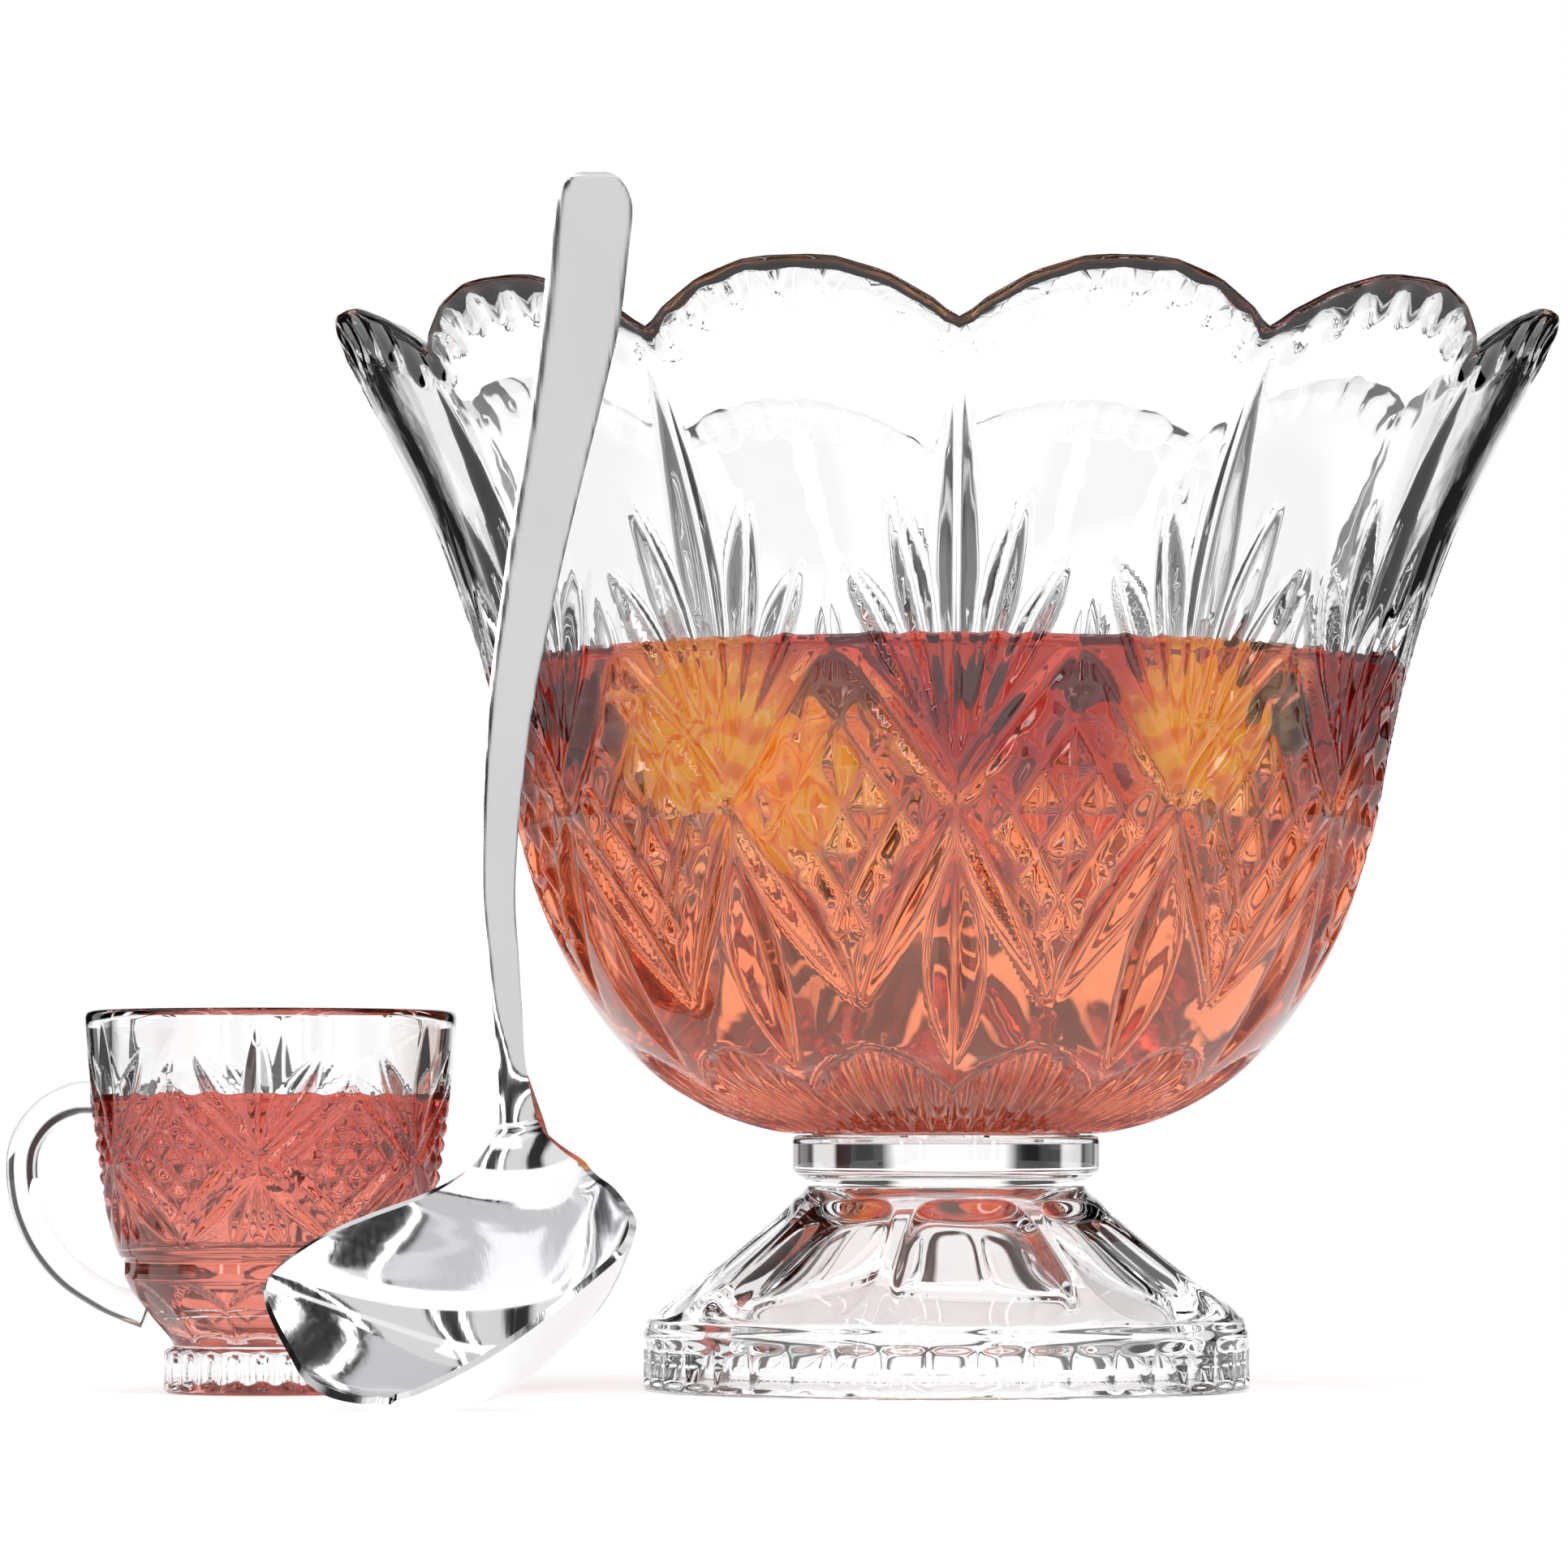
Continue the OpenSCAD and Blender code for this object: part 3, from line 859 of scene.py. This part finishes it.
def ladle_sheet():
    """Grid of points over the middle of the steel sheet, from the handle's top to the bowl's front."""
    length, width = 190, 45
    u = np.sin(np.linspace(-np.pi / 2, np.pi / 2, width))
    rows = []
    for station in smooth_line(ladle_stations(), length):
        middle, wide, out = station[:3], station[3:6], station[6:9]
        half_wide, depth = max(station[9], 0.4), station[10]
        wide = wide / np.linalg.norm(wide)
        out = out / np.linalg.norm(out)
        rows.append(middle + np.outer(u * half_wide, wide) - np.outer(depth * (1 - np.abs(u) ** 2.1), out))
    return np.array(rows)


def thickened(sheet, half):
    """A closed solid: the sheet moved by half its thickness to either side, with walls between."""
    normal = np.cross(np.gradient(sheet, axis=1), np.gradient(sheet, axis=0))
    normal /= np.linalg.norm(normal, axis=2)[:, :, None] + 1e-9
    sides = [(sheet + normal * half).reshape(-1, 3), (sheet - normal * half).reshape(-1, 3)]
    rows, columns = sheet.shape[:2]
    back = rows * columns
    faces = []
    for i in range(rows - 1):
        for j in range(columns - 1):
            k = i * columns + j
            faces.append((k, k + 1, k + columns + 1, k + columns))
            faces.append((back + k, back + k + columns, back + k + columns + 1, back + k + 1))
        for j in (0, columns - 1):
            k = i * columns + j
            quad = (k, k + columns, back + k + columns, back + k)
            faces.append(quad if j == 0 else tuple(reversed(quad)))
    for i in (0, rows - 1):
        for j in range(columns - 1):
            k = i * columns + j
            quad = (k, back + k, back + k + 1, k + 1)
            faces.append(quad if i == 0 else tuple(reversed(quad)))
    return np.vstack(sides), faces


def make_ladle():
    """The ladle: one sheet of steel, thickest at the neck, with its edges rounded."""
    sheet = ladle_sheet()
    share = np.linspace(0, 1, len(sheet))
    half = np.interp(share, [0, 0.03, 0.3, 0.5, 0.62, 1], [0.7, 1.0, 1.1, 1.5, 0.8, 0.8])
    verts, faces = thickened(sheet, half[:, None, None])
    ladle = new_object("ladle_steel", verts, faces, "ladle", STEEL, smooth_angle=50)
    edge = ladle.modifiers.new("rounded_edge", "BEVEL")
    edge.width = 0.4 * MM
    edge.segments = 2
    edge.limit_method = "ANGLE"
    edge.angle_limit = math.radians(50)
    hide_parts("ladle_bowl", "ladle_handle")


# ---------------------------------------------------------------- fruit


def make_slice(name, at, turn, radius, thick, material):
    """A citrus slice: a disc with a soft rind edge, slightly dished."""
    half = thick / 2
    rind_r, middle_r = radius * 0.93, radius * 0.6
    under = [(2, -half), (middle_r, -half), (rind_r, -half), (radius, -half / 2), (radius, half / 2)]
    top = [(rind_r, half), (middle_r, half - 0.3), (2, half - 0.4)]
    columns = 72
    verts, faces = lathe(spun(np.array(under), columns), spun(np.array(top), columns), columns, 1)
    slice_piece = new_object(name, verts, faces, "bowl", material)
    slice_piece.location = Vector(at) * MM
    slice_piece.rotation_euler = tuple(math.radians(a) for a in turn)


def make_berry(name, at, size, material, rng):
    """A berry: a slightly lumpy ball."""
    bm = bmesh.new()
    bmesh.ops.create_icosphere(bm, subdivisions=4, radius=1.0)
    lean = rng.normal(size=3) * 0.06
    for v in bm.verts:
        lumps = 0.05 * math.sin(6 * v.co.x + lean[0] * 30) * math.sin(5 * v.co.y)
        v.co = v.co * (1 + lumps + float(np.dot(lean, v.co))) * size * MM
    mesh = bpy.data.meshes.new(name)
    bm.to_mesh(mesh)
    bm.free()
    mesh.shade_smooth()
    berry = bpy.data.objects.new(name, mesh)
    berry.location = Vector(at) * MM
    berry.data.materials.append(material)
    bpy.context.scene.collection.objects.link(berry)
    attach(berry, "bowl")


def make_fruit():
    """Citrus slices and berries in the punch; places in millimetres, turns in degrees."""
    rng = np.random.default_rng(SEED)
    orange = fruit_flesh(
        "orange_flesh",
        flesh=(1.0, 0.42, 0.02),
        juice=(0.9, 0.28, 0.01),
        rind=(0.95, 0.30, 0.01),
        pith=(1.0, 0.75, 0.35),
        radius=30,
    )
    lemon = fruit_flesh(
        "lemon_flesh",
        flesh=(1.0, 0.60, 0.04),
        juice=(0.85, 0.38, 0.01),
        rind=(0.95, 0.50, 0.02),
        pith=(1.0, 0.92, 0.6),
        radius=20,
    )
    berry = berry_skin("berry_skin", dark=(0.02, 0.004, 0.01), light=(0.12, 0.01, 0.02))
    cherry = berry_skin("cherry_skin", dark=(0.25, 0.004, 0.006), light=(0.6, 0.02, 0.02))
    slices = [
        ((-56, -68, 151), (82, 8, -38), 18, lemon),
        ((-34, -66, 139), (80, -24, -50), 16, lemon),
        ((54, -68, 153), (80, 14, 40), 17, lemon),
        ((34, 20, 158), (18, 8, 0), 28, orange),
        ((-48, 30, 160), (12, -16, 20), 26, lemon),
    ]
    for k, (at, turn, radius, material) in enumerate(slices, 1):
        make_slice(f"citrus_slice_{k}", at, turn, radius, 5.0, material)
    berries = [
        ((3, -76, 163), 7, berry),
        ((74, -50, 158), 8, berry),
        ((-24, -84, 162), 8, cherry),
        ((-80, -40, 160), 9, cherry),
        ((30, -80, 163), 7, cherry),
        ((60, 20, 162), 8, cherry),
        ((-10, 10, 163), 8, cherry),
        ((-84, 2, 161), 8, berry),
    ]
    for k, (at, size, material) in enumerate(berries, 1):
        make_berry(f"berry_{k}", at, size, material, rng)


# ---------------------------------------------------------------- build the pieces

make_bowl()
make_stand()
make_cup()
make_cup_handle()
make_ladle()
make_bowl_punch()
make_cup_punch()
make_fruit()


# ---------------------------------------------------------------- stage, light and camera

# Brightness of the studio round the pieces, as (place, brightness) pairs. A place is a part of the
# unit vector towards it: off the lens axis for BACKDROP, behind the pieces; to either side for
# STRIPS, on the camera's side, and for SIDES; upwards for OVERHEAD, on the camera's side. Heights
# on the backdrop count for less than widths, by BACKDROP_SQUEEZE.
BACKDROP = [(0.0, 1.02), (0.26, 1.02), (0.33, 0.02), (0.60, 0.01), (0.63, 0.85), (0.78, 0.85), (0.81, 0.01)]
STRIPS = [
    (0.0, 0.8), (0.26, 0.8), (0.29, 0.03), (0.33, 0.03), (0.34, 6.0),
    (0.36, 6.0), (0.37, 0.03), (0.54, 0.03), (0.55, 6.0), (0.58, 6.0),
    (0.59, 0.03), (0.62, 0.03), (0.64, 0.8), (0.82, 0.8), (0.85, 0.03),
]
SIDES = [(0.94, 0.0), (0.97, 0.9)]
OVERHEAD = [(0.0, 0.0), (0.56, 0.0), (0.60, 1.0), (0.74, 1.0), (0.78, 0.0)]
BACKDROP_SQUEEZE = 0.62
STUDIO_POWER = 6.0


def bands(tree, source, levels):
    """A grey ramp through (place, brightness) pairs, scaled so that the studio's power is 1."""
    stops = [(at, (level / STUDIO_POWER,) * 3) for at, level in levels]
    return ramp(tree, source, stops).outputs["Color"]


def make_floor():
    """A square of white paper."""
    half_size = 0.8
    bm = bmesh.new()
    bmesh.ops.create_grid(bm, x_segments=8, y_segments=8, size=half_size)
    mesh = bpy.data.meshes.new("floor")
    bm.to_mesh(mesh)
    bm.free()
    floor = bpy.data.objects.new("floor", mesh)
    floor.data.materials.append(floor_material("floor_paper"))
    bpy.context.scene.collection.objects.link(floor)


def tent(tree):
    """The colour of a photographer's tent: a framed white backdrop, and strip lights by the lens."""
    _, x, y, z = place_and_parts(tree, "Generated")
    side = math_node(tree, "ABSOLUTE", x)
    off_axis = tree.nodes.new("ShaderNodeCombineXYZ")
    tree.links.new(x, off_axis.inputs["X"])
    tree.links.new(math_node(tree, "MULTIPLY", z, BACKDROP_SQUEEZE), off_axis.inputs["Z"])
    behind = bands(tree, vector_measure(tree, "LENGTH", off_axis.outputs["Vector"]), BACKDROP)
    before = colour_mix(tree, bands(tree, side, STRIPS), bands(tree, z, OVERHEAD), "LIGHTEN")
    both = colour_mix(tree, before, behind, share=map_range(tree, y, -0.1, 0.1))
    return colour_mix(tree, both, bands(tree, side, SIDES), "LIGHTEN")


def make_world():
    """The tent lights the pieces; past them the camera sees plain white paper."""
    world = bpy.data.worlds.new("studio")
    bpy.context.scene.world = world
    world.use_nodes = True
    tree = world.node_tree
    sky = tree.nodes["Background"]
    tree.links.new(tent(tree), sky.inputs["Color"])
    sky.inputs["Strength"].default_value = STUDIO_POWER
    paper = tree.nodes.new("ShaderNodeBackground")
    paper.inputs["Color"].default_value = (1.0, 1.0, 1.0, 1)
    seen = tree.nodes.new("ShaderNodeLightPath")
    mix = tree.nodes.new("ShaderNodeMixShader")
    tree.links.new(seen.outputs["Is Camera Ray"], mix.inputs["Fac"])
    tree.links.new(sky.outputs["Background"], mix.inputs[1])
    tree.links.new(paper.outputs["Background"], mix.inputs[2])
    tree.links.new(mix.outputs["Shader"], tree.nodes["World Output"].inputs["Surface"])


def soft_light(name, at, aim, size, power):
    """A softbox standing at one place and aimed at another; size in metres, power in watts."""
    data = bpy.data.lights.new(name, "AREA")
    data.shape = "RECTANGLE"
    data.size, data.size_y = size
    data.energy = power
    lamp = bpy.data.objects.new(name, data)
    lamp.location = at
    lamp.rotation_euler = (Vector(aim) - Vector(at)).to_track_quat("-Z", "Y").to_euler()
    bpy.context.scene.collection.objects.link(lamp)


def make_camera():
    """A long lens, low and level with the cup, a little left of the bowl; the pitch is in degrees."""
    distance, height, aside, pitch = 1.632, 0.0559, -0.0382, 3.057
    data = bpy.data.cameras.new("camera")
    data.sensor_width = 36
    data.lens = 158.4
    data.clip_end = 20
    camera = bpy.data.objects.new("camera", data)
    camera.location = (aside, -distance, height)
    camera.rotation_euler = (math.radians(90 + pitch), 0, 0)
    bpy.context.scene.collection.objects.link(camera)
    bpy.context.scene.camera = camera


make_floor()
make_world()
soft_light("key", (-0.9, -1.0, 1.4), (0, 0, 0.12), (1.0, 1.0), 2)
soft_light("fill", (1.1, -0.8, 0.9), (0, 0, 0.12), (0.8, 0.8), 1)
make_camera()
bpy.context.scene.view_settings.view_transform = "Standard"
